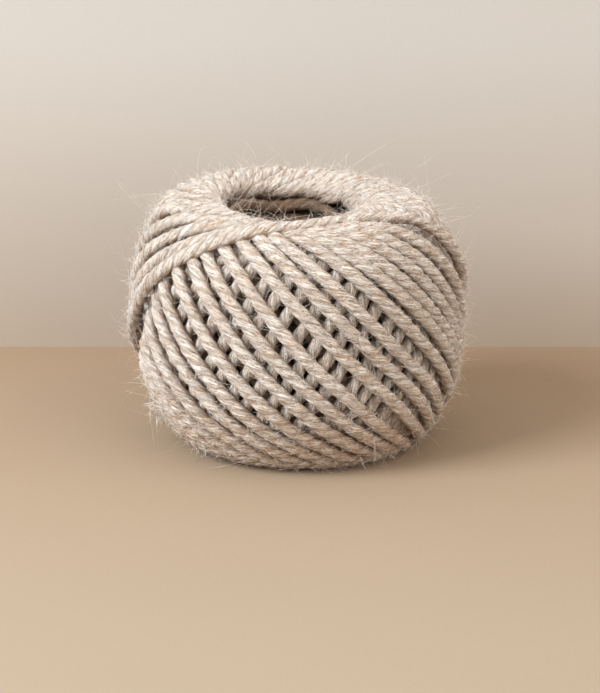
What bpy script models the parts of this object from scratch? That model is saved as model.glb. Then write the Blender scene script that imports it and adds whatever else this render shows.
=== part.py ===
"""Ball of natural twine, wound on a rod so that it keeps an open centre."""
import bpy
import numpy as np
from math import pi, tau, radians, sin, sqrt

# Main sizes, in metres
BALL_RADIUS = 0.0450        # over the turns, at the widest place
CENTRE_HEIGHT = 0.0350      # of the widest place above the floor
TOP_BOW = 0.03885           # half height that the upper half's curve aims at
BOTTOM_BOW = 0.04255        # the same for the lower half
TOP_POWER = 2.82            # how square the upper half's curve is
BOTTOM_POWER = 2.46
LEAN = 0.0039               # how much higher the crest stands on its high side
LEAN_TO = radians(124.0)    # angle of the high side
HOLE_SHIFT = 0.0018         # how far the upper end of the hole lies to the left

# The turns: each is a tilted loop that touches a circle round the centre hole at both ends
TOP_REACH = 0.0312          # height of the upper touching circle above the widest place
BOTTOM_REACH = 0.0330       # depth of the lower one below it
TURN_STEEP = 1.80           # how much steeper than a flat loop the turns cross the middle
LAST_TURN = radians(-80.3)  # where the last turn touches the upper circle
SKEW = radians(15.9)        # how far the tops of the newest turns lean forward
TURN_STEP = radians(8.5)    # from one of the oldest turns to the next
TURN_EDGE = radians(2.8)    # from a turn's middle to its edge
SHOULDER = radians(1.6)     # from a turn's middle to the end of its rounded top
PROUD = 0.0010              # how far the newest turns stand over the others

# Degrees of the newest turns behind the last one, on the way up and on the way down
NEWEST_TURNS = (
    (0.0, -4.0),
    (9.1, 11.4),
    (18.6, 21.8),
    (31.9, 28.4),
    (46.1, 38.3),
    (57.3, 45.8),
)

# Degrees from each of the turns before them to the next
TURN_STEPS = (9.8, 13.2, 9.4, 10.6, 11.5, 9.7, 9.6, 10.0, 12.1, 10.7, 12.5, 11.8)

# Relief of the surface, in metres
GROOVE = 0.0020             # between two turns that lie apart
CLOSE_GROOVE = 0.0011       # between two turns side by side
WIDE_STEP = radians(10.0)   # from this step on, a groove has its full depth

# The way in from the crest to the middle of the centre hole: radius and height from the middle
UPPER_WAY = (
    ("shoulder", 0.0326, 0.0312),
    ("outside of the crest", 0.0298, 0.0317),
    ("crest", 0.0253, 0.0326),
    ("inside of the crest", 0.0212, 0.0316),
    ("funnel", 0.0181, 0.0290),
    ("throat", 0.0166, 0.0252),
    ("under the throat", 0.0174, 0.0205),
    ("core", 0.0150, 0.0110),
    ("middle", 0.0145, 0.0000),
)
LOWER_WAY = (
    ("outside of the flat", 0.0295, -0.0346),
    ("flat", 0.0262, -0.0352),
    ("inside of the flat", 0.0217, -0.0350),
    ("funnel", 0.0180, -0.0320),
    ("throat", 0.0162, -0.0270),
    ("under the throat", 0.0163, -0.0205),
    ("core", 0.0150, -0.0110),
)
FUNNEL_STARTS = 13          # turns that go round and down the funnel side by side
FUNNEL_GROOVE = 0.0012
FUNNEL_PITCH = 0.0034       # from one of them to the next, across

# How finely the surface is divided
OUTER_ROWS = 31
OUTER_FROM = radians(15.0)
UPPER_AT = (0.0, 0.045, 0.09, 0.135, 0.18, 0.225, 0.27, 0.315, 0.36, 0.41, 0.47, 0.56, 0.69, 0.84, 1.0)
LOWER_AT = (0.0, 0.06, 0.12, 0.18, 0.24, 0.29, 0.34, 0.40, 0.47, 0.56, 0.69, 0.84)
TURN_SIDES = 4              # columns for each turn in the funnel


def clear_scene():
    """Take everything out of the starting scene."""
    for obj in list(bpy.data.objects):
        bpy.data.objects.remove(obj, do_unlink=True)
    for mesh in list(bpy.data.meshes):
        bpy.data.meshes.remove(mesh)


def soft_step(x):
    """0 below 0, 1 above 1 and 3 x^2 - 2 x^3 between."""
    x = np.clip(x, 0, 1)
    return x * x * (3 - 2 * x)


def turn_height(u):
    """Height of a turn above the widest place, u being its angle from the upper touching point."""
    c = np.cos(u)
    reach = np.where(c > 0, TOP_REACH, BOTTOM_REACH)
    return reach * c * sqrt(1 + TURN_STEEP ** 2) / np.sqrt(1 + (TURN_STEEP * c) ** 2)


def outer_wall(z):
    """Radius of the outer wall at height z, and the way outward there in the half section."""
    up = z >= 0
    bow = np.where(up, TOP_BOW, BOTTOM_BOW)
    power = np.where(up, TOP_POWER, BOTTOM_POWER)
    part = np.abs(z) / bow
    r = BALL_RADIUS * (1 - part ** power) ** (1 / power)
    out_r = (r / BALL_RADIUS) ** (power - 1) / BALL_RADIUS
    out_z = np.sign(z) * part ** (power - 1) / bow
    size = np.hypot(out_r, out_z)
    return r, out_r / size, out_z / size


def turn_ages():
    """Ages of the turns as angles from the last one, on the way up and on the way down."""
    up = [radians(row[0]) for row in NEWEST_TURNS]
    down = [radians(row[1]) for row in NEWEST_TURNS]
    for step in TURN_STEPS:
        down.append(down[-1] + radians(step))
    while down[-1] < tau + 3 * TURN_STEP:
        down.append(down[-1] + TURN_STEP)
    for i in range(len(up), len(down) - 1):
        up.append(0.5 * (down[i] + down[i + 1]))
    return np.array(up), np.array(down)


UP_AGES, DOWN_AGES = turn_ages()


def columns_of_turns(ages):
    """Age and relief of the surface's columns: the two shoulders of each turn, then a groove.

    A groove is one column, or a floor between two where the turns lie well apart.
    """
    rows = []
    for i in range(len(ages) - 1):
        step = ages[i + 1] - ages[i]
        shoulder = min(SHOULDER, 0.25 * step)
        depth = np.interp(step, (2 * TURN_EDGE, WIDE_STEP), (CLOSE_GROOVE, GROOVE))
        rows.append((ages[i] - shoulder, 0.0))
        rows.append((ages[i] + shoulder, 0.0))
        if step > WIDE_STEP - radians(0.5):
            rows.append((ages[i] + TURN_EDGE, -depth))
            rows.append((ages[i + 1] - TURN_EDGE, -depth))
        else:
            rows.append((ages[i] + 0.5 * step, -depth))
    return np.array(rows)


UP_COLUMNS = columns_of_turns(UP_AGES)
DOWN_COLUMNS = columns_of_turns(DOWN_AGES)


def drift(age, u, side):
    """Angle by which the newer turns lie flatter across the front than an even loop."""
    share = soft_step((u - 1.1) / 0.9) if side > 0 else 1 - soft_step((2.7 - u) / 1.6)
    return share * np.interp(age, (0.4, 0.8, 1.5, 2.2), (0.0, 0.14, 0.14, 0.03))


def turn_angle(age, u, side):
    """Angle round the ball of a turn at its angle u, side being 1 on the way down and -1 on the way up."""
    newest = np.clip(1 - np.maximum(age, 0) / UP_AGES[5], 0, 1)
    top = np.maximum(turn_height(u) / TOP_REACH, 0) ** 3
    return LAST_TURN + side * u - age + SKEW * newest * top + drift(age, u, side)


def level(age, u):
    """How far a turn stands over the others, from its age and its angle u."""
    return PROUD * soft_step(1 - age / 0.9) * soft_step((2.3 - u) / 0.8)


def stand_up(r, a, z):
    """Point at radius r, angle a and height z over the widest place.

    The top leans: it rises towards its high side by the square of the height, and near the
    middle it is moved to the left with the hole.
    """
    up = np.clip(z / 0.034, 0, 1)
    near = soft_step((0.040 - r) / 0.018)
    x = r * np.cos(a) - HOLE_SHIFT * soft_step(up) * near
    y = r * np.sin(a)
    rise = LEAN * (0.5 + 0.5 * np.cos(a - LEAN_TO)) ** 1.3 * up ** 2
    return x, y, z + CENTRE_HEIGHT + rise


def wall_point(a, u, lift):
    """Point of the outer wall at angle a on the row u, moved out by lift."""
    z = turn_height(u)
    r, out_r, out_z = outer_wall(z)
    return stand_up(r + out_r * lift, a, z + out_z * lift)


def outer_row(u):
    """One row round the outer wall: its two parts and the two corners between them.

    The front part shows the branches that run down to the right, from the last turn's right
    branch back to its left one. The back part shows the branches that run up to the right.
    """
    gap = 0.8 * TURN_EDGE
    right = float(turn_angle(DOWN_AGES[0] - TURN_EDGE, u, 1))
    left = float(turn_angle(UP_AGES[0] - TURN_EDGE, u, -1))
    fade = np.clip((sin(u) - sin(OUTER_FROM)) / 0.35, 0, 1)
    parts = []
    for side, columns, first, last in (
        (1, DOWN_COLUMNS, right, left),
        (-1, UP_COLUMNS, left, right - tau),
    ):
        age, relief = columns[:, 0], columns[:, 1]
        a = turn_angle(age, u, side)
        shown = (a < first - 0.1 * TURN_EDGE) & (a > last + gap)
        parts.append(dict(
            a=a[shown],
            coord=age[shown],
            lift=level(age[shown], u) + relief[shown] * fade,
            end=LAST_TURN + side * u - last,
        ))
    # the corners where the last turn's flanks come down on the older turns
    low = -0.6 * GROOVE * fade
    return parts[0], parts[1], (left, low), (right, low)


def rows_between(row_a, row_b, rising=False):
    """Triangles between two chains of (coordinate, index), joined at their nearest columns.

    Of each four corners the nearer two are joined: rising tells which, by the turns' slant.
    """
    faces = []
    i = 0
    j = 0
    while i < len(row_a) - 1 or j < len(row_b) - 1:
        if j == len(row_b) - 1:
            go_a = True
        elif i == len(row_a) - 1:
            go_a = False
        else:
            next_a = row_a[i + 1][0]
            next_b = row_b[j + 1][0]
            if abs(next_a - next_b) < 1e-9:
                go_a = rising
            else:
                go_a = next_a < next_b
        if go_a:
            faces.append((row_a[i][1], row_a[i + 1][1], row_b[j][1]))
            i += 1
        else:
            faces.append((row_a[i][1], row_b[j + 1][1], row_b[j][1]))
            j += 1
    return faces


def add_outer_wall(verts, faces):
    """The outer wall, row by row from the top down. Returns its first and last ring."""
    us = even_rows()
    rings = []
    chains = []
    for u in us:
        front, back, left, right = outer_row(u)
        start = len(verts)
        # right corner, front part, left corner, back part, in falling angle round the ball
        ang = np.concatenate([[right[0]], front["a"], [left[0]], back["a"]])
        lift = np.concatenate([[right[1]], front["lift"], [left[1]], back["lift"]])
        x, y, z = wall_point(ang, np.full(len(ang), u), lift)
        verts.extend(zip(x, y, z))
        n = len(front["a"])
        m = len(back["a"])
        chain_f = [(DOWN_AGES[0] - TURN_EDGE, start)]
        chain_f += list(zip(front["coord"], range(start + 1, start + 1 + n)))
        chain_f += [(front["end"], start + 1 + n)]
        chain_b = [(UP_AGES[0] - TURN_EDGE, start + 1 + n)]
        chain_b += list(zip(back["coord"], range(start + 2 + n, start + 2 + n + m)))
        chain_b += [(back["end"], start)]
        chains.append((chain_f, chain_b))
        rings.append((start, ang))
    for one, two in zip(chains[:-1], chains[1:]):
        faces.extend(rows_between(one[0], two[0]))
        faces.extend(rows_between(one[1], two[1], True))
    return rings[0], rings[-1]


def even_rows():
    """Angles u of the rows, spaced evenly along a turn."""
    u = np.linspace(OUTER_FROM, pi - OUTER_FROM, 600)
    z = turn_height(u)
    r = outer_wall(z)[0]
    step = np.sqrt(np.diff(z) ** 2 + np.diff(r) ** 2 + (0.5 * (r[1:] + r[:-1]) * np.diff(u)) ** 2)
    run = np.concatenate([[0.0], np.cumsum(step)])
    return np.interp(np.linspace(0, run[-1], OUTER_ROWS), run, u)


def smooth_way(table, count):
    """Evenly spaced points of a soft curve through the named points of a table."""
    p = np.array([(row[1], row[2]) for row in table])
    p = np.vstack([2 * p[0] - p[1], p, 2 * p[-1] - p[-2]])
    t = np.linspace(0, 1, 12, endpoint=False)[:, None]
    parts = []
    for i in range(1, len(p) - 2):
        a, b, c, d = p[i - 1], p[i], p[i + 1], p[i + 2]
        parts.append(0.5 * (2 * b + (c - a) * t + (2 * a - 5 * b + 4 * c - d) * t ** 2
                            + (3 * b - a - 3 * c + d) * t ** 3))
    line = np.vstack(parts + [p[-2:-1]])
    run = np.concatenate([[0.0], np.cumsum(np.hypot(*np.diff(line, axis=0).T))])
    at = run[-1] * np.asarray(count)
    r = np.interp(at, run, line[:, 0])
    z = np.interp(at, run, line[:, 1])
    ahead_r = np.interp(at + 1e-4, run, line[:, 0]) - np.interp(at - 1e-4, run, line[:, 0])
    ahead_z = np.interp(at + 1e-4, run, line[:, 1]) - np.interp(at - 1e-4, run, line[:, 1])
    size = np.hypot(ahead_r, ahead_z)
    return r, z, ahead_z / size, -ahead_r / size, at


def add_rings(verts, way, side, lift_of):
    """Rings down one way into the hole, turned so that their columns follow the turns.

    side is 1 above and -1 below.
    """
    r, z, out_r, out_z, run = way
    count = FUNNEL_STARTS * TURN_SIDES
    column = np.arange(count)
    rings = []
    for k in range(len(r)):
        spiral = side * tau * run[k] / (FUNNEL_PITCH * FUNNEL_STARTS)
        ang = LAST_TURN + TURN_EDGE - tau * column / count + spiral
        lift = lift_of(run[k], column % TURN_SIDES)
        x, y, z_up = stand_up(r[k] + side * out_r[k] * lift, ang, z[k] + side * out_z[k] * lift)
        rings.append((len(verts), ang))
        verts.extend(zip(x, y, np.maximum(z_up, 0.0)))
    return rings


def join_columns(upper, lower, faces):
    """Triangles between two rings of the same columns."""
    count = len(upper[1])
    for i in range(count):
        j = (i + 1) % count
        faces.append((upper[0] + i, upper[0] + j, lower[0] + i))
        faces.append((upper[0] + j, lower[0] + j, lower[0] + i))


def join_rings(upper, lower, faces):
    """Triangles between two whole rings, joined by angle."""
    chains = []
    first = lower[1][0] + 1e-6
    for start, ang in (upper, lower):
        fall = (first - ang) % tau
        chain = sorted(zip(fall, range(start, start + len(ang))))
        chain.append((chain[0][0] + tau, chain[0][1]))
        chains.append(chain)
    faces.extend(rows_between(chains[0], chains[1]))


def funnel_relief(run, part):
    """Relief of the turns in the hole, part being the column within a turn, 0 in its groove."""
    fade_in = min(max((run - 0.001) / 0.004, 0.0), 1.0)
    fade_out = min(max((0.028 - run) / 0.006, 0.0), 1.0)
    return -FUNNEL_GROOVE * fade_in * fade_out * np.where(part == 0, 1.0, np.where(part == 2, 0.0, 0.15))


def upper_lift(run, part):
    """The relief begins on the crest."""
    return funnel_relief(run - 0.004, part)


def lower_lift(run, part):
    """No relief where the ball rests."""
    return funnel_relief(run - 0.008, part)


def build_ball():
    """The wound ball as one closed surface."""
    verts = []
    faces = []
    top, bottom = add_outer_wall(verts, faces)
    upper = add_rings(verts, smooth_way(UPPER_WAY, UPPER_AT), 1, upper_lift)
    lower = add_rings(verts, smooth_way(LOWER_WAY, LOWER_AT), -1, lower_lift)
    join_rings(top, upper[0], faces)
    for way in (upper, lower):
        for one, two in zip(way[:-1], way[1:]):
            join_columns(one, two, faces)
    join_rings(upper[-1], lower[-1], faces)
    join_rings(lower[0], bottom, faces)
    return verts, faces


def make_object(name, verts, faces):
    """A mesh object with its normals outward and its faces shaded smooth."""
    import bmesh
    mesh = bpy.data.meshes.new(name)
    bm = bmesh.new()
    made = [bm.verts.new(v) for v in verts]
    for face in faces:
        bm.faces.new([made[i] for i in face])
    bmesh.ops.recalc_face_normals(bm, faces=bm.faces)
    for face in bm.faces:
        face.smooth = True
    bm.to_mesh(mesh)
    bm.free()
    obj = bpy.data.objects.new(name, mesh)
    bpy.context.scene.collection.objects.link(obj)
    return obj


def jute():
    """Pale natural jute."""
    mat = bpy.data.materials.new("natural_jute")
    mat.use_nodes = True
    shader = mat.node_tree.nodes["Principled BSDF"]
    shader.inputs["Base Color"].default_value = (0.56, 0.46, 0.34, 1.0)
    shader.inputs["Roughness"].default_value = 0.9
    shader.inputs["Metallic"].default_value = 0.0
    return mat


def main():
    clear_scene()
    verts, faces = build_ball()
    ball = make_object("twine_ball", verts, faces)
    ball.data.materials.append(jute())


main()
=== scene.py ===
"""Ball of natural jute twine: its turns with their twist, the centre hole and the loose fibres."""
from math import pi, tau, radians, cos, sin

import bpy
import numpy as np
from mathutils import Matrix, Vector


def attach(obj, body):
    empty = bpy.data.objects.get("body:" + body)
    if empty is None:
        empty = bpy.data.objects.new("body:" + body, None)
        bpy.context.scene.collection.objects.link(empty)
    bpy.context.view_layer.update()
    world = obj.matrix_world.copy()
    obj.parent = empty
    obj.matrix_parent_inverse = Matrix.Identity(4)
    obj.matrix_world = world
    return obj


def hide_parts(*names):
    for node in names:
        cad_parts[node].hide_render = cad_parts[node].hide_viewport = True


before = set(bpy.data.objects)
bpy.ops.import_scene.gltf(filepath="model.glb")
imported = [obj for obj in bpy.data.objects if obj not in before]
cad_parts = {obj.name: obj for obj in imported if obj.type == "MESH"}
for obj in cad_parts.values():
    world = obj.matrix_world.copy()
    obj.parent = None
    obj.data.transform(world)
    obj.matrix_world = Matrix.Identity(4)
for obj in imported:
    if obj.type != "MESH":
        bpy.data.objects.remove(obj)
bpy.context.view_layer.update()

bl_info = {
    "name": "Ball of Jute Twine",
    "version": (1, 0, 0),
    "blender": (4, 5, 0),
    "location": "3D View > Sidebar > Twine",
    "description": "Builds the wound turns, the centre hole and the loose fibres of a ball of twine",
    "category": "Add Mesh",
}

# The half section of the ball, from the middle of the hole round the outside and back into it.
# Radius and height above the widest place, in metres, for the newest surface.
LOWER_RIM = (
    ("middle of the hole", 0.0152, 0.0000),
    ("core", 0.0152, -0.0110),
    ("under the throat", 0.0163, -0.0205),
    ("throat", 0.0158, -0.0270),
    ("funnel", 0.0180, -0.0320),
    ("inside of the flat", 0.0217, -0.0350),
    ("flat", 0.0262, -0.0352),
    ("outside of the flat", 0.0295, -0.0346),
)
UPPER_RIM = (
    ("outside of the crest", 0.0298, 0.0316),
    ("crest", 0.0253, 0.0326),
    ("inside of the crest", 0.0210, 0.0319),
    ("funnel", 0.0178, 0.0300),
    ("throat", 0.0164, 0.0275),
    ("under the throat", 0.0178, 0.0236),
    ("core", 0.0190, 0.0150),
    ("end in the hole", 0.0190, 0.0010),
)

# The newest turns as they show on the front: degrees behind the last turn's middle on the way up
# and on the way down, and the way up the surface to where the turn tops out, in metres
NEWEST_TURNS = (
    (0.0, -4.0, 0.0399),
    (9.1, 11.4, 0.0379),
    (18.6, 21.8, 0.0392),
    (31.9, 28.4, 0.0409),
    (46.1, 38.3, 0.0432),
    (57.3, 45.8, 0.0444),
)

# Degrees from each of the turns before them to the next, on the way down
TURN_STEPS = (9.8, 13.2, 9.4, 10.6, 11.5, 9.7, 9.6, 10.0, 12.1, 10.7, 12.5, 11.8)


# How far the turns at these ages, in radians behind the last one, reach up the surface, in metres
REACH_AGES = (0.8, 1.2, 1.6, 2.2, pi, tau, 2 * tau)
REACHES = (0.0448, 0.0476, 0.0497, 0.0513, 0.0527, 0.0536, 0.0560)
REACH_PLAY = 0.0014

# Where the wall of the half section starts and ends, from the widest place
WALL_FROM = -0.0322
WALL_TO = 0.0306

# Radius of the upright hole in the core, behind the lining
CORE_HOLE = 0.0202
CORE_DEPTH = 0.0090         # of the core under the newest surface

# Turns in each piece, from the newest on
OUTER_TURNS = 17
CROSSING_TURNS = 38
INNER_TURNS = 61

# The studio: half width of the boards and the wall's distance behind the ball
BOARD = 1.6
WALL_BEHIND = 0.089


# Sizes and colours

class TWINE_PG_winding(bpy.types.PropertyGroup):
    """How the ball is wound."""
    radius: bpy.props.FloatProperty(
        name="Ball radius", description="Radius over the newest turns at the widest place",
        default=0.0450, min=0.02, max=0.2, unit="LENGTH")
    centre: bpy.props.FloatProperty(
        name="Centre height", description="Height of the widest place above the floor",
        default=0.0350, min=0.01, max=0.2, unit="LENGTH")
    top_bow: bpy.props.FloatProperty(
        name="Top bow", description="Half height that the upper curve aims at",
        default=0.03885, min=0.01, max=0.2, unit="LENGTH")
    bottom_bow: bpy.props.FloatProperty(
        name="Bottom bow", description="Half height that the lower curve aims at",
        default=0.04255, min=0.01, max=0.2, unit="LENGTH")
    top_power: bpy.props.FloatProperty(
        name="Top power", description="How square the upper curve is", default=2.82, min=1.5, max=5)
    bottom_power: bpy.props.FloatProperty(
        name="Bottom power", description="How square the lower curve is", default=2.46, min=1.5, max=5)
    lean: bpy.props.FloatProperty(
        name="Lean", description="How much higher the crest stands on its high side than opposite",
        default=0.0039, min=0, max=0.02, unit="LENGTH")
    lean_to: bpy.props.FloatProperty(
        name="Lean to", description="Angle of the crest's high side",
        default=radians(124), subtype="ANGLE")
    hole_shift: bpy.props.FloatProperty(
        name="Hole shift", description="How far the upper end of the hole lies to the left",
        default=0.0018, min=0, max=0.02, unit="LENGTH")
    foot_shift: bpy.props.FloatProperty(
        name="Foot shift", description="How far the foot has settled to the right",
        default=0.0012, min=0, max=0.02, unit="LENGTH")
    layer: bpy.props.FloatProperty(
        name="Layer", description="What one crossing turn adds to the thickness",
        default=0.0030, min=0.001, max=0.01, unit="LENGTH")
    steep: bpy.props.FloatProperty(
        name="Steepness", description="How much fuller than a plain tilted circle a turn is",
        default=0.65, min=0, max=5)
    skew: bpy.props.FloatProperty(
        name="Skew", description="How far the tops of the newest turns lean forward round the ball",
        default=radians(15.9), subtype="ANGLE")
    last: bpy.props.FloatProperty(
        name="Last turn", description="Angle where the last turn touches the upper rim",
        default=radians(-80.3), subtype="ANGLE")
    step: bpy.props.FloatProperty(
        name="Step", description="Angle from one of the older turns to the next",
        default=radians(8.5), subtype="ANGLE")


class TWINE_PG_twine(bpy.types.PropertyGroup):
    """The twine itself."""
    thickness: bpy.props.FloatProperty(
        name="Thickness", description="Over its three strands",
        default=0.0036, min=0.001, max=0.01, unit="LENGTH")
    lay: bpy.props.FloatProperty(
        name="Lay", description="Length in which a strand goes once round",
        default=0.0122, min=0.003, max=0.05, unit="LENGTH")
    groove: bpy.props.FloatProperty(
        name="Groove", description="Depth between two strands as a share of the radius",
        default=0.14, min=0, max=0.5)
    step: bpy.props.FloatProperty(
        name="Step", description="Length of one mesh ring",
        default=0.00105, min=0.0004, max=0.005, unit="LENGTH")


class TWINE_PG_fibres(bpy.types.PropertyGroup):
    """The loose fibres that stand off the twine."""
    nap: bpy.props.IntProperty(
        name="Nap", description="How many fibres hug the twine, in each of two pieces",
        default=12000, min=0, max=16600)
    short: bpy.props.IntProperty(name="Short fibres", description="How many", default=11000, min=0, max=16600)
    long: bpy.props.IntProperty(name="Long fibres", description="How many", default=1400, min=0, max=8000)
    radius: bpy.props.FloatProperty(
        name="Fibre radius", description="At the thickest place",
        default=0.000065, min=0.00001, max=0.0003, precision=6, unit="LENGTH")
    stand: bpy.props.FloatProperty(
        name="Stand", description="The most that a fibre may stand off the ball",
        default=0.0070, min=0.001, max=0.03, unit="LENGTH")
    seed: bpy.props.IntProperty(name="Seed", description="Changes where the fibres stand", default=7)


class TWINE_PG_colours(bpy.types.PropertyGroup):
    """Colours of the twine and of the studio."""
    pale: bpy.props.FloatVectorProperty(
        name="Pale fibre", description="Bleached fibres", subtype="COLOR", size=3, min=0, max=1,
        default=(0.86, 0.85, 0.84))
    tan: bpy.props.FloatVectorProperty(
        name="Tan fibre", description="Fibres of the usual colour", subtype="COLOR", size=3, min=0, max=1,
        default=(0.53, 0.385, 0.27))
    rust: bpy.props.FloatVectorProperty(
        name="Rusty fibre", description="The few darker fibres", subtype="COLOR", size=3, min=0, max=1,
        default=(0.45, 0.26, 0.14))
    floor: bpy.props.FloatVectorProperty(
        name="Floor", description="Plain board under the ball", subtype="COLOR", size=3, min=0, max=1,
        default=(0.322, 0.264, 0.199))
    wall: bpy.props.FloatVectorProperty(
        name="Wall", description="Plain board behind the ball", subtype="COLOR", size=3, min=0, max=1,
        default=(0.450, 0.438, 0.424))


# Shader maths

class Sock:
    """A socket that takes part in sums: each operator adds one Math node."""

    def __init__(self, mat, socket):
        self.mat = mat
        self.socket = socket

    def _math(self, kind, a, b=0.0):
        return self.mat.node("ShaderNodeMath", dict(operation=kind), {0: a, 1: b})["Value"]

    def __add__(self, other):
        return self._math("ADD", self, other)

    def __sub__(self, other):
        return self._math("SUBTRACT", self, other)

    def __rsub__(self, other):
        return self._math("SUBTRACT", other, self)

    def __mul__(self, other):
        return self._math("MULTIPLY", self, other)

    def __rmul__(self, other):
        return self._math("MULTIPLY", other, self)

    def __pow__(self, other):
        return self._math("POWER", self, other)

    def cos(self):
        return self._math("COSINE", self)

    def sin(self):
        return self._math("SINE", self)

    def __abs__(self):
        return self._math("ABSOLUTE", self)

    def clip(self):
        made = self._math("ADD", self, 0.0)
        made.socket.node.use_clamp = True
        return made


class Outputs:
    """The outputs of a node by name."""

    def __init__(self, mat, node):
        self.mat = mat
        self.node = node

    def __getitem__(self, name):
        return Sock(self.mat, self.node.outputs[name])


class Finish:
    """A node material. node() takes a node's type, its settings and its sockets' values or links."""

    def __init__(self, name):
        self.material = bpy.data.materials.new(name)
        self.material.use_nodes = True
        self.tree = self.material.node_tree
        self.tree.nodes.clear()
        self.out = self.tree.nodes.new("ShaderNodeOutputMaterial")

    def node(self, kind, settings=None, inputs=None):
        made = self.tree.nodes.new(kind)
        for key, value in (settings or {}).items():
            if key == "stops":
                self.set_stops(made, value)
            else:
                setattr(made, key, value)
        for key, value in (inputs or {}).items():
            socket = made.inputs[key]
            if isinstance(value, Sock):
                self.tree.links.new(value.socket, socket)
            else:
                socket.default_value = value
        return Outputs(self, made)

    def set_stops(self, made, stops):
        ramp = made.color_ramp
        while len(ramp.elements) < len(stops):
            ramp.elements.new(0.5)
        for element, (place, level) in zip(ramp.elements, stops):
            element.position = place
            element.color = (level, level, level, 1.0)

    def noise(self, vector, scale, detail=2.0, roughness=0.5):
        return self.node("ShaderNodeTexNoise", dict(noise_dimensions="3D"), dict(
            Vector=vector, Scale=scale, Detail=detail, Roughness=roughness))["Fac"]

    def ramp(self, value, *stops):
        return self.node("ShaderNodeValToRGB", dict(stops=stops), dict(Fac=value))["Color"]

    def mix(self, factor, a, b, kind="MIX"):
        made = self.tree.nodes.new("ShaderNodeMix")
        made.data_type = "RGBA"
        made.blend_type = kind
        for place, value in ((0, factor), (6, a), (7, b)):
            if isinstance(value, Sock):
                self.tree.links.new(value.socket, made.inputs[place])
            elif place == 0:
                made.inputs[place].default_value = value
            else:
                made.inputs[place].default_value = (*value, 1.0)
        return Sock(self, made.outputs[2])

    def bump(self, height, distance, strength):
        return self.node("ShaderNodeBump", None, dict(
            Height=height, Distance=distance, Strength=strength))["Normal"]

    def surface(self, **sockets):
        shader = self.node("ShaderNodeBsdfPrincipled", None, {
            key.replace("_", " "): value for key, value in sockets.items()})
        self.tree.links.new(shader["BSDF"].socket, self.out.inputs["Surface"])
        return self.material


def colour(value):
    return tuple(value)


def jute_finish(name, colours, lay, shade=1.0):
    """Jute twine. The UV map holds the way along the twine in centimetres and the share round it.

    The fibres lie slanted to the strands. A noise on (way, cos, sin) of the place across them, long
    along them and narrow across, sorts them into pale and tan ones with a few rusty ones, and a
    slow noise makes whole stretches paler or browner. The thin lines where two more noises pass
    through their middle value are single pale fibres and painted shade in the gaps between fibres.
    Towards the axis and below the rim, in the hole, painted shade makes the fibres darker and
    browner, and painted shade makes them darker and browner low on the ball too.
    """
    fin = Finish(name)
    uv = fin.node("ShaderNodeUVMap", dict(uv_map="twine"))["UV"]
    split = fin.node("ShaderNodeSeparateXYZ", None, dict(Vector=uv))
    way, turn = split["X"], split["Y"] * tau
    slant = turn - way * 1.6

    def across(length, width, angle):
        return fin.node("ShaderNodeCombineXYZ", None, dict(
            X=way * length, Y=angle.cos() * width, Z=angle.sin() * width))["Vector"]

    fine = fin.noise(across(2.7, 4.6, slant), 1.0, 3.0, 0.60)
    coarse = fin.noise(across(1.6, 2.6, slant), 1.0, 2.0, 0.5)
    slow = fin.noise(across(0.35, 0.3, turn), 1.0, 3.0, 0.6)
    streaks = fin.ramp(fine, (0.43, 0.0), (0.55, 1.0))
    stretch = fin.ramp(coarse * 0.5 + slow * 0.5, (0.34, 0.0), (0.56, 1.0))
    pale_share = (streaks * 0.62 + stretch * 0.38).clip()
    base = fin.mix(pale_share, colour(colours.tan), colour(colours.pale))
    rusty = fin.ramp(fin.noise(across(2.6, 7.0, slant + 1.0), 1.0, 1.0, 0.5), (0.60, 0.0), (0.70, 0.7))
    base = fin.mix(rusty, base, colour(colours.rust))
    hair = 1.0 - (abs(fin.noise(across(5.0, 2.8, slant + 2.0), 1.0, 1.0, 0.5) - 0.5) * 22.0).clip()
    # painted shade: thin dark lines stand for the shade in the gaps between fibres
    dark = 1.0 - (abs(fin.noise(across(3.4, 3.4, slant + 4.0), 1.0, 1.0, 0.5) - 0.5) * 24.0).clip()
    base = fin.mix(dark * 0.62, base, tuple(0.70 * c for c in colours.rust))
    base = fin.mix(hair * 0.80, base, tuple(min(1.0, 1.06 * c) for c in colours.pale))
    place = fin.node("ShaderNodeSeparateXYZ", None, dict(Vector=fin.node("ShaderNodeTexCoord")["Object"]))
    wide = (place["X"] * place["X"] + place["Y"] * place["Y"]) ** 0.5
    # painted shade: the turn's sides and underside, away from its outward side, are made darker and browner
    facing = (turn - way * (tau * 0.01 / lay)).cos()
    base = fin.mix(((0.50 - facing) * 0.90).clip() * 0.80, base, tuple(0.80 * c for c in colours.rust))
    # painted shade in the hole: towards the axis and below the rim the twine is made darker and browner
    inside = ((0.0235 - wide) * 300.0).clip() * ((0.0680 - place["Z"]) * 200.0).clip()
    base = fin.mix(inside * 0.58, base, tuple(0.62 * c for c in colours.rust))
    # painted shade: the twine is made darker and browner low on the ball, towards the floor
    low = ((0.026 - place["Z"]) * 55.0).clip()
    base = fin.mix(low, base, fin.mix(1.0, base, (0.82, 0.73, 0.65), "MULTIPLY"))
    # painted shade in the grooves between the twine's three strands
    groove = ((turn * 3.0).cos() * 0.5 + 0.5) ** 5.0
    base = fin.mix(groove * 0.40, base, tuple(0.60 * c for c in colours.rust))
    # painted shade: a whole piece is darkened and warmed, for the turns further in, the hole lining and the
    # core
    if shade != 1.0:
        base = fin.mix(1.0, base, (shade, shade * 0.88, shade * 0.76), "MULTIPLY")
    height = fine * 0.9 + hair * 0.25 - dark * 0.35
    return fin.surface(
        Base_Color=base, Roughness=0.85, Normal=fin.bump(height, 0.0007, 1.0),
        Specular_IOR_Level=0.12)


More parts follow.
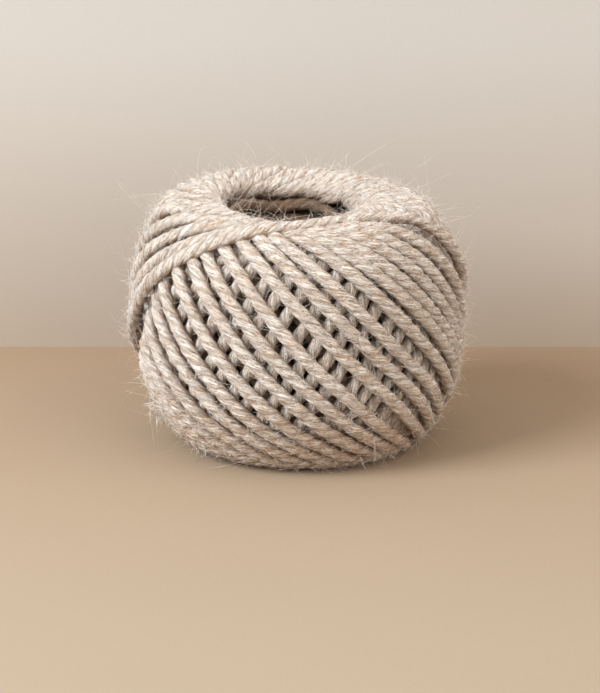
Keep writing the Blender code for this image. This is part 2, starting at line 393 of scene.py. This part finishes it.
def hair_finish(name, colours, tint=0.75):
    """Single loose fibres: pale, with a slow change from fibre to fibre."""
    fin = Finish(name)
    place = fin.node("ShaderNodeTexCoord")["Object"]
    change = fin.ramp(fin.noise(place, 380.0, 1.0, 0.5), (0.26, 0.0), (0.50, 1.0))
    dark = tuple(tint * t + (1 - tint) * r for t, r in zip(colours.tan, colours.rust))
    pale = tuple(0.88 * p + 0.12 * t for p, t in zip(colours.pale, colours.tan))
    base = fin.mix(change, dark, pale)
    return fin.surface(Base_Color=base, Roughness=0.7, Specular_IOR_Level=0.15)


def plain_finish(name, tone, other, axis, start, stop, grain, roughness):
    """Plain uncoated board with a very fine grain and painted shade: it goes from one tone to the other,
    darker one along an axis.
    """
    fin = Finish(name)
    place = fin.node("ShaderNodeTexCoord")["Object"]
    along = fin.node("ShaderNodeSeparateXYZ", None, dict(Vector=place))[axis]
    # painted shade along the axis
    base = fin.mix(((along - start) * (1 / (stop - start))).clip(), tone, other)
    level = (fin.noise(place, 900.0, 3.0, 0.6) + fin.noise(place, 9.0, 2.0, 0.5) * 0.5) * grain
    base = fin.mix(level.clip(), base, fin.mix(1.0, base, (1.25, 1.25, 1.25), "MULTIPLY"))
    return fin.surface(Base_Color=base, Roughness=roughness, Specular_IOR_Level=0.15)


# Shapes

def soft_line(points, fine=14):
    """Soft curve through points: a Catmull-Rom cubic between each pair, sampled fine times."""
    p = np.asarray(points, float)
    p = np.vstack([2 * p[0] - p[1], p, 2 * p[-1] - p[-2]])
    t = np.arange(fine)[:, None, None] / fine
    a, b, c, d = p[:-3], p[1:-2], p[2:-1], p[3:]
    bend = 2 * a - 5 * b + 4 * c - d
    line = 0.5 * (2 * b + (c - a) * t + bend * t ** 2 + (3 * b - a - 3 * c + d) * t ** 3)
    line = line.transpose(1, 0, 2).reshape(-1, p.shape[1])
    return np.vstack([line, p[-2]])


class Section:
    """The ball's half section as a line, with the way s along it measured from the widest place.

    The outer wall is a superellipse, (r / R)^n + (z / H)^n = 1, with its own H and n above and
    below. The rims and the hole go on from it through their tables. at(s) gives radius, height
    and the way outward, taken from the nearest point of an upright line inside the wall.
    """

    def __init__(self, w):
        z = np.linspace(WALL_FROM, WALL_TO, 19)
        bow = np.where(z > 0, w.top_bow, w.bottom_bow)
        power = np.where(z > 0, w.top_power, w.bottom_power)
        r = w.radius * (1 - (np.abs(z) / bow) ** power) ** (1 / power)
        wall = np.stack([r, z], 1)
        low = np.array([row[1:] for row in LOWER_RIM])
        high = np.array([row[1:] for row in UPPER_RIM])
        line = soft_line(np.vstack([low, wall, high]))
        run = np.concatenate([[0.0], np.cumsum(np.hypot(*np.diff(line, axis=0).T))])
        zero = np.interp(0.0, line[len(low) * 14:-len(high) * 14, 1], run[len(low) * 14:-len(high) * 14])
        self.s = run - zero
        self.r, self.z = line.T
        self.crest = self.s[int(np.argmax(self.z))]

    def at(self, s):
        r = np.interp(s, self.s, self.r)
        z = np.interp(s, self.s, self.z)
        spine_z = np.clip(z, -0.020, 0.020)
        out_r, out_z = r - 0.0300, z - spine_z
        size = np.hypot(out_r, out_z)
        return r, z, out_r / size, out_z / size


def loop_height(u, steep):
    """Height of a slanting loop as a share of its reach: cos u, fuller by the steepness k.

    cos(u) sqrt(1 + k^2) / sqrt(1 + k^2 cos(u)^2)
    """
    c = np.cos(u)
    return c * np.sqrt(1 + steep ** 2) / np.sqrt(1 + (steep * c) ** 2)


def turn_table(w, turns, rng):
    """Ages and reaches of the turns, newest first.

    The ages are angles behind the last turn, two for each turn: on its way down and on its way up.
    The newest turns follow their table and the ones before them its steps, then come even steps
    with a little play. A turn touches the hole deeper down its funnel the older it is, because the
    ball was smaller when it was laid.
    """
    new = np.array(NEWEST_TURNS)
    step = np.degrees(w.step) * (1 + 0.14 * rng.uniform(-1, 1, turns - len(new)))
    step[:len(TURN_STEPS)] = TURN_STEPS
    down = np.radians(np.concatenate([new[:, 1], new[-1, 1] + np.cumsum(step)]))
    up = np.append(0.5 * (down[1:] + down[:-1]), down[-1])
    up[:len(new)] = np.radians(new[:, 0])
    reach = np.interp(down, REACH_AGES, REACHES) + REACH_PLAY * rng.uniform(-1, 1, turns)
    reach[:len(new)] = new[:, 2]
    return down, up, reach


def soft_step(x):
    """0 below 0, 1 above 1 and 3 x^2 - 2 x^3 between."""
    x = np.clip(x, 0, 1)
    return x * x * (3 - 2 * x)


def level(w, age, u):
    """How far a turn lies under the newest surface.

    At angle u a turn meets the turn that is 2 u newer on the way down, and 2 u + 2 pi newer on the
    way up. It lies one layer deeper for each turn that is there before it, and for each whole
    round of newer turns. The newest turns stand a little proud of the others, the last one most.
    """
    down = soft_step((u + 0.12) / 0.45) * (u > -1)
    up = soft_step((u + pi + 0.05) / 0.45) * (u < 0)
    over = 0
    for rounds in range(3):
        newer = age - tau * rounds
        over = over + down * soft_step((newer - 2 * u) / 0.28 + 1)
        over = over + up * soft_step((newer - tau - 2 * u) / 0.28 + 1)
        over = over + soft_step((newer - tau) / 0.28 + 1)
    proud = 0.0009 * soft_step(1 - age / 0.9) + 0.0007 * soft_step(1 - age / 0.12)
    proud = proud * soft_step((2.3 - np.abs(u)) / 0.8)
    return proud - w.layer * over


def drift(age, u):
    """Angle by which the newer turns lie flatter across the front than an even loop.

    It grows over the lower front, keeps through the lower rim and fades on the way up at the back.
    """
    share = np.where(u > 0, soft_step((u - 1.1) / 0.9), 1 - soft_step((u + 2.7) / 1.6))
    return share * np.interp(age, (0.4, 0.8, 1.5, 2.2), (0.0, 0.14, 0.14, 0.03))


def stand_up(w, r, z, around):
    """Points from radius, height over the widest place and angle.

    The top leans: it rises towards its high side by the square of the height, and near the middle
    it is moved to the left with the hole. The foot has settled a little to the right.
    """
    up = np.clip(z / 0.034, 0, 1)
    near = soft_step((0.040 - r) / 0.018)
    foot = soft_step(np.clip(-z / 0.030, 0, 1))
    x = r * np.cos(around) - w.hole_shift * soft_step(up) * near + w.foot_shift * foot
    y = r * np.sin(around)
    z = z + w.centre + w.lean * (0.5 + 0.5 * np.cos(around - w.lean_to)) ** 1.3 * up ** 2
    return np.stack(np.broadcast_arrays(x, y, z), -1)


class Winding:
    """One unbroken string, as arrays along its way: place, outward direction and length so far.

    The phase p counts round the loops, 2 pi for each. The angle in the loop is u = p mod 2 pi - pi,
    the angle round the ball is last - age(p) + u, and the way up the section is reach times the
    height of the loop. The age falls evenly along the phase, so each loop joins the next.
    """

    def __init__(self, w, section, first, last, spacing, seed=3):
        rng = np.random.default_rng(seed)
        turns = 120
        down, up, reaches = turn_table(w, turns, rng)
        # phase 0 is the string's end, and older turns have lower phases
        p = self.even_phase(w, section, -tau * last, -tau * first, spacing)
        index = -p / tau
        age = np.interp(index, 0.25 + 0.5 * np.arange(2 * turns), np.stack([down, up], 1).ravel())
        u = np.mod(p, tau) - pi
        sway = np.sin(p * 0.731 + 1.3) + np.sin(p * 1.618 + 0.4) + np.sin(p * 2.903 + 2.1)
        # each turn keeps its own reach up to the lower rim, where it changes to the next one's
        reach = np.interp(index - 0.5, np.arange(turns), reaches)
        height = loop_height(u, w.steep)
        s = reach * height
        # below, the newest turns lie on the flat and the older ones line the hole
        s = np.where(height < 0, height * (0.0395 + 0.8 * np.maximum(reach - 0.0450, 0)), s)
        newest = np.clip(1 - (index - 0.5) / len(NEWEST_TURNS), 0, 1)
        around = w.last - age + u + drift(age, u) + radians(0.35) * sway
        around = around + w.skew * newest * np.maximum(height, 0) ** 3
        lift = level(w, age, u) - 0.0018
        # a turn rides up a little where it crosses the turns beneath
        cross = (2 * np.abs(u) + age) / w.step
        lift = lift + 0.00018 * np.cos(tau * cross) * np.sin(u) ** 2
        r, z, out_r, out_z = section.at(s)
        r, z = r + out_r * lift, z + out_z * lift
        self.place = stand_up(w, r, z, around)
        self.outward = np.stack([out_r * np.cos(around), out_r * np.sin(around), out_z], 1)
        self.age, self.u = age, u
        self.finish()

    def even_phase(self, w, section, start, stop, spacing):
        """Phases a fixed length apart along the string."""
        u = np.linspace(-pi, pi, 721)
        r, z, _, _ = section.at(0.0430 * loop_height(u, 1.0))
        step = np.sqrt(np.diff(z) ** 2 + np.diff(r) ** 2 + (0.5 * (r[1:] + r[:-1]) * np.diff(u)) ** 2)
        run = np.concatenate([[0.0], np.cumsum(step)])
        whole = run[-1]
        to_run = lambda p: np.floor(p / tau) * whole + np.interp(np.mod(p, tau) - pi, u, run)
        a, b = to_run(np.float64(start)), to_run(np.float64(stop))
        runs = np.linspace(a, b, max(4, int(round((b - a) / spacing))))
        lap = np.floor(runs / whole)
        return lap * tau + np.interp(runs - lap * whole, run, u) + pi

    def finish(self):
        along = np.gradient(self.place, axis=0)
        self.along = along / np.linalg.norm(along, axis=1)[:, None]
        out = self.outward - (self.outward * self.along).sum(1)[:, None] * self.along
        self.outward = out / np.linalg.norm(out, axis=1)[:, None]
        self.side = np.cross(self.along, self.outward)
        gap = np.linalg.norm(np.diff(self.place, axis=0), axis=1)
        self.length = np.concatenate([[0.0], np.cumsum(gap)])

    def on_top(self):
        """True where no newer turn lies over the string."""
        half = np.abs(self.u)
        limit = np.where(self.u > 0, 2 * half, tau - 2 * half)
        return self.age < limit


def twine_rings(t, line, sides):
    """Twisted three-strand twine along a line.

    The radius at angle a round the twine is R (1 - g (1 - |cos(1.5 a)|^0.8)), three lobes that
    turn once in each lay. The columns turn with the lobes, so each stays on its own strand.
    """
    radius = 0.5 * t.thickness
    share = np.arange(sides) / sides
    lobe = 1 - t.groove * (1 - np.abs(np.cos(1.5 * tau * share + pi / 2)) ** 0.8)
    way = line.length
    angle = tau * share[None, :] - (tau * way / t.lay)[:, None]
    uneven = 1 + 0.035 * np.sin(way * 310.0) + 0.03 * np.sin(way * 127.0 + 1.0)
    rho = radius * uneven[:, None] * lobe[None, :]
    # pressed a little flat on the ball
    out = 0.95 * rho * np.cos(angle)
    side = 1.03 * rho * np.sin(angle)
    rings = line.place[:, None, :] + out[..., None] * line.outward[:, None, :]
    rings = rings + side[..., None] * line.side[:, None, :]
    return rings, way, share


def tube_mesh(name, rings, way, share):
    """A closed tube from rings of points, with flat ends and a UV map of (way in cm, share round)."""
    n, k = rings.shape[:2]
    i = np.arange(n - 1)[:, None] * k
    j = np.arange(k)[None, :]
    jn = (j + 1) % k
    quads = np.stack([i + j, i + jn, i + k + jn, i + k + j], -1).reshape(-1, 4)
    ends = [np.arange(k)[::-1], (n - 1) * k + np.arange(k)]
    loops = np.concatenate([quads.ravel(), ends[0], ends[1]])
    sizes = np.concatenate([np.full(len(quads), 4), [k, k]])
    next_share = np.append(share[1:], 1.0)
    w0 = np.broadcast_to((way[:-1, None] * 100), (n - 1, k))
    w1 = np.broadcast_to((way[1:, None] * 100), (n - 1, k))
    s0 = np.broadcast_to(share[None, :], (n - 1, k))
    s1 = np.broadcast_to(next_share[None, :], (n - 1, k))
    uv = np.stack([np.stack(pair, -1) for pair in ((w0, s0), (w0, s1), (w1, s1), (w1, s0))], 2)
    end_uv = [np.stack([np.full(k, way[0] * 100), share[::-1]], 1),
              np.stack([np.full(k, way[-1] * 100), share], 1)]
    uv = np.vstack([uv.reshape(-1, 2)] + end_uv)
    return solid(name, rings.reshape(-1, 3), loops, sizes, uv)


def solid(name, points, loops, sizes, uv=None):
    """A mesh object at the origin from arrays of points, corners and face sizes, shaded smooth."""
    mesh = bpy.data.meshes.new(name)
    mesh.vertices.add(len(points))
    mesh.vertices.foreach_set("co", np.asarray(points, np.float32).ravel())
    mesh.loops.add(len(loops))
    mesh.loops.foreach_set("vertex_index", np.asarray(loops, np.int32))
    mesh.polygons.add(len(sizes))
    starts = np.concatenate([[0], np.cumsum(sizes)[:-1]])
    mesh.polygons.foreach_set("loop_start", np.asarray(starts, np.int32))
    mesh.update(calc_edges=True)
    mesh.polygons.foreach_set("use_smooth", np.ones(len(sizes), bool))
    if uv is not None:
        layer = mesh.uv_layers.new(name="twine")
        layer.data.foreach_set("uv", np.asarray(uv, np.float32).ravel())
    mesh.validate()
    obj = bpy.data.objects.new(name, mesh)
    bpy.context.scene.collection.objects.link(obj)
    return obj


def place_piece(obj, finish, stands_for=None):
    """Gives a piece its finish and its body."""
    obj.data.materials.append(finish)
    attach(obj, "root")
    if stands_for:
        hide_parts(stands_for)


def hair_mesh(name, root, lead, bend, curl, reach, radius, rings):
    """Fine three-sided fibres with two pointed ends, all in one mesh.

    A fibre's middle at share t of its reach is root + reach (lead t + bend t^2 / 2 + curl t^3 / 3),
    and its radius falls from the full one near the root to half of it near the tip.
    """
    count = len(root)
    t = np.linspace(0, 1, rings + 2)[None, :, None]
    length = reach[:, None, None]
    way = lead[:, None] * t + bend[:, None] * t ** 2 / 2 + curl[:, None] * t ** 3 / 3
    middle = root[:, None, :] + length * way
    run = lead[:, None] + bend[:, None] * t + curl[:, None] * t ** 2
    run = run / np.linalg.norm(run, axis=2, keepdims=True)
    helper = np.where(np.abs(run[..., 2:3]) < 0.8, np.array([0, 0, 1.0]), np.array([1.0, 0, 0]))
    a = np.cross(run, helper)
    a = a / np.linalg.norm(a, axis=2, keepdims=True)
    b = np.cross(run, a)
    ang = tau * np.arange(3) / 3
    thin = (radius[:, None] * (1 - 0.5 * t[0, 1:-1, 0][None, :]))[..., None, None]
    ring = middle[:, 1:-1, None, :] + thin * (
        np.cos(ang)[:, None] * a[:, 1:-1, None, :] + np.sin(ang)[:, None] * b[:, 1:-1, None, :])
    points = np.concatenate([ring.reshape(count, -1, 3), middle[:, -1:, :], middle[:, :1, :]], 1)
    per = rings * 3 + 2
    i = np.arange(rings - 1)[:, None] * 3
    j = np.arange(3)
    jn = (j + 1) % 3
    quads = np.stack([i + j, i + jn, i + 3 + jn, i + 3 + j], -1).reshape(-1, 4)
    tip = np.stack([(rings - 1) * 3 + j, (rings - 1) * 3 + jn, np.full(3, per - 2)], 1)
    base = np.stack([jn, j, np.full(3, per - 1)], 1)
    one = np.concatenate([quads.ravel(), tip.ravel(), base.ravel()])
    loops = (one[None, :] + per * np.arange(count)[:, None]).ravel()
    sizes = np.tile(np.concatenate([np.full(len(quads), 4), np.full(6, 3)]), count)
    return solid(name, points.reshape(-1, 3), loops, sizes)


def scatter(line, t, count, rng, hidden=0.2, outward=100.0):
    """Roots of fibres on the twine: place, outward, along and side there.

    Most stand where the twine shows, and the share called hidden anywhere, also in the gaps.
    """
    shown = np.flatnonzero(line.on_top())
    pick = np.where(rng.random(count) < hidden, rng.integers(0, len(line.place), count),
                    shown[rng.integers(0, len(shown), count)])
    turn = radians(outward) * rng.uniform(-1, 1, count)
    off = np.cos(turn)[:, None] * line.outward[pick] + np.sin(turn)[:, None] * line.side[pick]
    root = line.place[pick] + 0.42 * t.thickness * off
    along = line.along[pick]
    return root, off, along, np.cross(along, off)


# Operators

def settings():
    scene = bpy.context.scene
    return scene.twine_winding, scene.twine_twine, scene.twine_fibres, scene.twine_colours


class TWINE_OT_outer_turns(bpy.types.Operator):
    """Wind the turns that show on the outside of the ball"""
    bl_idname = "twine.outer_turns"
    bl_label = "Outer Turns"
    bl_options = {"REGISTER", "UNDO"}

    def execute(self, context):
        w, t, f, c = settings()
        section = Section(w)
        finish = jute_finish("jute_twine", c, t.lay)
        for name, first, last, step in (
            ("outer_turns", 0, OUTER_TURNS, t.step),
            ("crossing_turns", OUTER_TURNS, CROSSING_TURNS, 1.2 * t.step),
        ):
            rings, way, share = twine_rings(t, Winding(w, section, first, last, step), 12)
            obj = tube_mesh(name, rings, way, share)
            keep_above_floor(obj)
            place_piece(obj, finish, "twine_ball" if first == 0 else None)
        return {"FINISHED"}


class TWINE_OT_inner_turns(bpy.types.Operator):
    """Wind the turns further in, which show only through the gaps"""
    bl_idname = "twine.inner_turns"
    bl_label = "Inner Turns"
    bl_options = {"REGISTER", "UNDO"}

    def execute(self, context):
        w, t, f, c = settings()
        line = Winding(w, Section(w), CROSSING_TURNS, INNER_TURNS, 0.0018)
        rings, way, share = twine_rings(t, line, 9)
        obj = tube_mesh("inner_turns", rings, way, share)
        keep_above_floor(obj)
        # painted shade: the turns further in, seen only through the gaps, are darkened as a whole
        place_piece(obj, jute_finish("jute_inside_shaded", c, t.lay, 0.62))
        return {"FINISHED"}


class Helix:
    """A level coil that lines the hole: radius R, angle p and height rising by the pitch each round."""

    def __init__(self, w, radius, low, high, pitch, spacing):
        turns = (high - low) / pitch
        p = np.linspace(0, tau * turns, int(tau * turns * radius / spacing))
        z = low + pitch * p / tau + 0.0022 * np.sin(p - 0.9)
        z = z + 0.0007 * np.sin(p * 2.7) + 0.0006 * np.sin(p * 5.3)
        r = radius + 0.0007 * np.sin(p * 1.37) + 0.0006 * np.sin(p * 3.1 + 1.0)
        self.place = stand_up(w, r, z, p)
        self.outward = np.stack([-np.cos(p), -np.sin(p), 0 * p], 1)
        Winding.finish(self)


class TWINE_OT_hole_lining(bpy.types.Operator):
    """Wind the first turns, a level coil round the hole"""
    bl_idname = "twine.hole_lining"
    bl_label = "Hole Lining"
    bl_options = {"REGISTER", "UNDO"}

    def execute(self, context):
        w, t, f, c = settings()
        line = Helix(w, 0.0178, -0.0255, 0.0240, 0.0034, 0.0014)
        rings, way, share = twine_rings(t, line, 9)
        # painted shade: the lining deep in the hole is darkened as a whole
        place_piece(tube_mesh("hole_lining", rings, way, share), jute_finish("jute_lining_shaded", c, t.lay, 0.52))
        return {"FINISHED"}


class TWINE_OT_core(bpy.types.Operator):
    """Fill the inside of the ball, with its hole"""
    bl_idname = "twine.core"
    bl_label = "Core"
    bl_options = {"REGISTER", "UNDO"}

    def execute(self, context):
        w, t, f, c = settings()
        section = Section(w)
        # the half section, drawn inward by more on the outside than in the hole
        s = np.linspace(section.s[0], section.s[-1], 90)
        r, z, out_r, out_z = section.at(s)
        r, z = r - out_r * CORE_DEPTH, z - out_z * CORE_DEPTH
        hole = np.abs(s) > section.crest + 0.006
        r = np.where(hole, CORE_HOLE, np.maximum(r, CORE_HOLE))
        ang = tau * np.arange(96) / 96
        # the profile is a ring itself, so the surface closes both ways
        points = stand_up(w, r[:, None], z[:, None], ang[None, :])
        n, k = points.shape[:2]
        i = np.arange(n)[:, None]
        j = np.arange(k)[None, :]
        i2, j2 = (i + 1) % n, (j + 1) % k
        quads = np.stack([i * k + j, i * k + j2, i2 * k + j2, i2 * k + j], -1).reshape(-1, 4)
        share = np.stack(np.broadcast_arrays(ang[None, :] * 40, s[:, None] * 90), -1)
        uv = np.stack([share] * 4, 2).reshape(-1, 2)
        obj = solid("core", points.reshape(-1, 3), quads.ravel(), np.full(len(quads), 4), uv)
        # painted shade: the core, which shows only deep behind the turns and in the hole, is made very dark
        place_piece(obj, jute_finish("jute_core_shaded", c, t.lay, 0.18))
        return {"FINISHED"}


class TWINE_OT_fibres(bpy.types.Operator):
    """Stand the loose fibres off the twine"""
    bl_idname = "twine.fibres"
    bl_label = "Loose Fibres"
    bl_options = {"REGISTER", "UNDO"}

    def execute(self, context):
        w, t, f, c = settings()
        section = Section(w)
        rng = np.random.default_rng(f.seed)
        line = Winding(w, section, 0, CROSSING_TURNS, 0.001)
        finish = hair_finish("loose_fibre", c)
        # name, how many, least and most reach, rings, how far they stand off, how they bend back,
        # how much they curl, how thick they are
        for name, count, short, long, rings, stand, back, loose, thick in (
            ("nap", f.nap, 0.0018, 0.0044, 2, 0.20, -0.7, 0.40, 0.95),
            ("nap_over", f.nap, 0.0012, 0.0034, 2, 0.28, -0.7, 0.60, 0.90),
            ("short_fibres", f.short, 0.0012, 0.0034, 3, 0.34, -0.9, 1.70, 0.70),
            ("long_fibres", f.long, 0.0026, 0.0068, 6, 0.34, -1.2, 3.00, 0.50),
        ):
            root, off, along, side = scatter(line, t, count, rng)
            sign = rng.choice([-1.0, 1.0], (count, 1))
            # the fibres lie on the slant of the twist
            slant = np.cos(0.6) * along - np.sin(0.6) * side
            lead = sign * slant + stand * rng.uniform(0.1, 1.6, (count, 1)) * off
            lead = lead + loose * 0.6 * rng.normal(size=(count, 1)) * side
            lead = lead / np.linalg.norm(lead, axis=1)[:, None]
            bend = loose * rng.normal(size=(count, 3)) + back * off
            curl = loose * rng.normal(size=(count, 3))
            reach = short + (long - short) * rng.random(count) ** 2.2
            radius = thick * f.radius * rng.uniform(0.6, 1.2, count)
            obj = hair_mesh(name, root, lead, bend, curl, reach, radius, rings)
            keep_close(obj, w, f)
            keep_above_floor(obj)
            place_piece(obj, finish)
        return {"FINISHED"}


def change_points(obj, change):
    """Moves a piece's points by a function of their whole array."""
    mesh = obj.data
    co = np.empty(len(mesh.vertices) * 3, np.float32)
    mesh.vertices.foreach_get("co", co)
    co = change(co.reshape(-1, 3))
    mesh.vertices.foreach_set("co", np.asarray(co, np.float32).ravel())
    mesh.update()


def keep_close(obj, w, f):
    """Draws in what stands too far off the ball: past the limit a length grows only as x / (1 + x)."""
    def change(co):
        wide = np.hypot(co[:, 0], co[:, 1])
        over = np.maximum(wide - w.radius - 0.5 * f.stand, 0)
        soft = over / (1 + 2 * over / f.stand)
        co[:, :2] *= ((wide - over + soft) / np.maximum(wide, 1e-6))[:, None]
        top = 2 * w.centre + 0.5 * f.stand
        over = np.maximum(co[:, 2] - top, 0)
        co[:, 2] += over / (1 + 2 * over / f.stand) - over
        return co
    change_points(obj, change)


def keep_above_floor(obj, low=0.0001):
    """Lifts every point of a piece to the floor at least."""
    change_points(obj, lambda co: np.maximum(co, (-1.0, -1.0, low)))


class TWINE_OT_tucked_end(bpy.types.Operator):
    """Show the frayed tip of the string where it is tucked in"""
    bl_idname = "twine.tucked_end"
    bl_label = "Tucked End"
    bl_options = {"REGISTER", "UNDO"}

    def execute(self, context):
        w, t, f, c = settings()
        section = Section(w)
        rng = np.random.default_rng(11)
        count = 110
        around = radians(187)
        r, z, out_r, out_z = section.at(np.float64(-0.0262))
        root = stand_up(w, r, z, around)
        outward = np.array([out_r * cos(around), out_r * sin(around), out_z])
        side = np.array([-sin(around), cos(around), 0.0])
        down = np.cross(outward, side)
        down = -np.sign(down[2]) * down
        root = root[None, :] + 0.0013 * rng.normal(size=(count, 3)) - 0.0008 * outward
        lead = 0.75 * outward + 0.65 * down + 0.30 * rng.normal(size=(count, 3))
        lead = lead / np.linalg.norm(lead, axis=1)[:, None]
        bend = 0.9 * rng.normal(size=(count, 3)) - 0.5 * outward
        curl = 0.8 * rng.normal(size=(count, 3))
        reach = rng.uniform(0.0018, 0.0042, count)
        obj = hair_mesh("tucked_end", root, lead, bend, curl, reach, np.full(count, 0.00011), 4)
        keep_above_floor(obj)
        place_piece(obj, hair_finish("frayed_fibre", c, 0.2))
        return {"FINISHED"}


class TWINE_OT_stage(bpy.types.Operator):
    """Set the plain floor, the wall behind, the lights and the camera"""
    bl_idname = "twine.stage"
    bl_label = "Stage"
    bl_options = {"REGISTER", "UNDO"}

    def execute(self, context):
        w, t, f, c = settings()
        x, back = BOARD, WALL_BEHIND
        floor = np.array([[-x, -x, 0], [x, -x, 0], [x, back, 0], [-x, back, 0]])
        wall = np.array([[-x, back, 0], [x, back, 0], [x, back, x], [-x, back, x]])
        # painted shade: the floor darkens towards the wall and the wall darkens towards the floor
        for name, points, tone, other, axis, start, stop, grain in (
            ("floor", floor, c.floor, (0.93, 0.83, 0.76), "Y", -0.15, 0.08, 0.35),
            ("wall", wall, c.wall, (0.83, 0.73, 0.635), "Z", 0.095, 0.004, 0.15),
        ):
            obj = solid(name, points, np.arange(4), np.array([4]))
            far = tuple(a * b for a, b in zip(tone, other))
            board = plain_finish(name + "_board", colour(tone), far, axis, start, stop, grain, 0.9)
            obj.data.materials.append(board)
        camera_at_photo(w)
        for name, place, aim, size, power, tone in (
            ("key", (-0.86, -0.54, 0.74), (0.0, 0.0, 0.03), 0.62, 20.5, (0.95, 0.985, 1.0)),
            ("fill", (0.9, -0.8, 0.75), (0.0, 0.0, 0.03), 1.5, 11.0, (1.0, 0.90, 0.79)),
        ):
            lamp = bpy.data.lights.new(name, "AREA")
            lamp.size = size
            lamp.energy = power
            lamp.color = tone
            obj = bpy.data.objects.new(name, lamp)
            obj.location = place
            obj.rotation_euler = (Vector(aim) - Vector(place)).to_track_quat("-Z", "Y").to_euler()
            bpy.context.scene.collection.objects.link(obj)
        world = bpy.data.worlds.new("studio")
        world.use_nodes = True
        world.node_tree.nodes["Background"].inputs["Color"].default_value = (1.0, 0.90, 0.80, 1.0)
        world.node_tree.nodes["Background"].inputs["Strength"].default_value = 0.90
        bpy.context.scene.world = world
        bpy.context.scene.view_settings.view_transform = "Standard"
        return {"FINISHED"}


def camera_at_photo(w):
    """The camera: 16 degrees above level, 0.65 m from the ball, framed as in the photograph."""
    scale = 0.000272
    distance = 0.65
    down = radians(16)
    away = Vector((0, -cos(down), sin(down)))
    up = Vector((0, sin(down), cos(down)))
    middle = Vector((0, 0, w.centre))
    # the ball's middle is at pixel (297.5, 313.4) of a 600 by 693 picture
    aim = middle - Vector((1, 0, 0)) * (297.5 - 300) * scale - up * (346.5 - 313.4) * scale
    cam = bpy.data.cameras.new("camera")
    cam.sensor_fit = "HORIZONTAL"
    cam.sensor_width = 36
    cam.lens = 36 * distance / (600 * scale)
    cam.clip_start = 0.01
    obj = bpy.data.objects.new("camera", cam)
    obj.location = aim + away * distance
    obj.rotation_euler = (-away).to_track_quat("-Z", "Y").to_euler()
    bpy.context.scene.collection.objects.link(obj)
    bpy.context.scene.camera = obj


class TWINE_PT_panel(bpy.types.Panel):
    """Sizes and steps of the ball of twine"""
    bl_idname = "TWINE_PT_panel"
    bl_label = "Ball of Twine"
    bl_space_type = "VIEW_3D"
    bl_region_type = "UI"
    bl_category = "Twine"

    def draw(self, context):
        scene = context.scene
        for group in (scene.twine_winding, scene.twine_twine, scene.twine_fibres, scene.twine_colours):
            box = self.layout.box()
            for key in group.bl_rna.properties.keys():
                if key not in {"rna_type", "name"}:
                    box.prop(group, key)
        for operator in OPERATORS:
            self.layout.operator(operator.bl_idname)


OPERATORS = (
    TWINE_OT_stage,
    TWINE_OT_outer_turns,
    TWINE_OT_inner_turns,
    TWINE_OT_hole_lining,
    TWINE_OT_core,
    TWINE_OT_fibres,
    TWINE_OT_tucked_end,
)
GROUPS = (
    ("twine_winding", TWINE_PG_winding),
    ("twine_twine", TWINE_PG_twine),
    ("twine_fibres", TWINE_PG_fibres),
    ("twine_colours", TWINE_PG_colours),
)


def register():
    for name, group in GROUPS:
        bpy.utils.register_class(group)
        setattr(bpy.types.Scene, name, bpy.props.PointerProperty(type=group))
    for operator in OPERATORS:
        bpy.utils.register_class(operator)
    bpy.utils.register_class(TWINE_PT_panel)


def unregister():
    bpy.utils.unregister_class(TWINE_PT_panel)
    for operator in reversed(OPERATORS):
        bpy.utils.unregister_class(operator)
    for name, group in reversed(GROUPS):
        delattr(bpy.types.Scene, name)
        bpy.utils.unregister_class(group)


def main():
    register()
    bpy.ops.twine.stage()
    bpy.ops.twine.outer_turns()
    bpy.ops.twine.inner_turns()
    bpy.ops.twine.hole_lining()
    bpy.ops.twine.core()
    bpy.ops.twine.fibres()
    bpy.ops.twine.tucked_end()


if __name__ == "__main__":
    main()
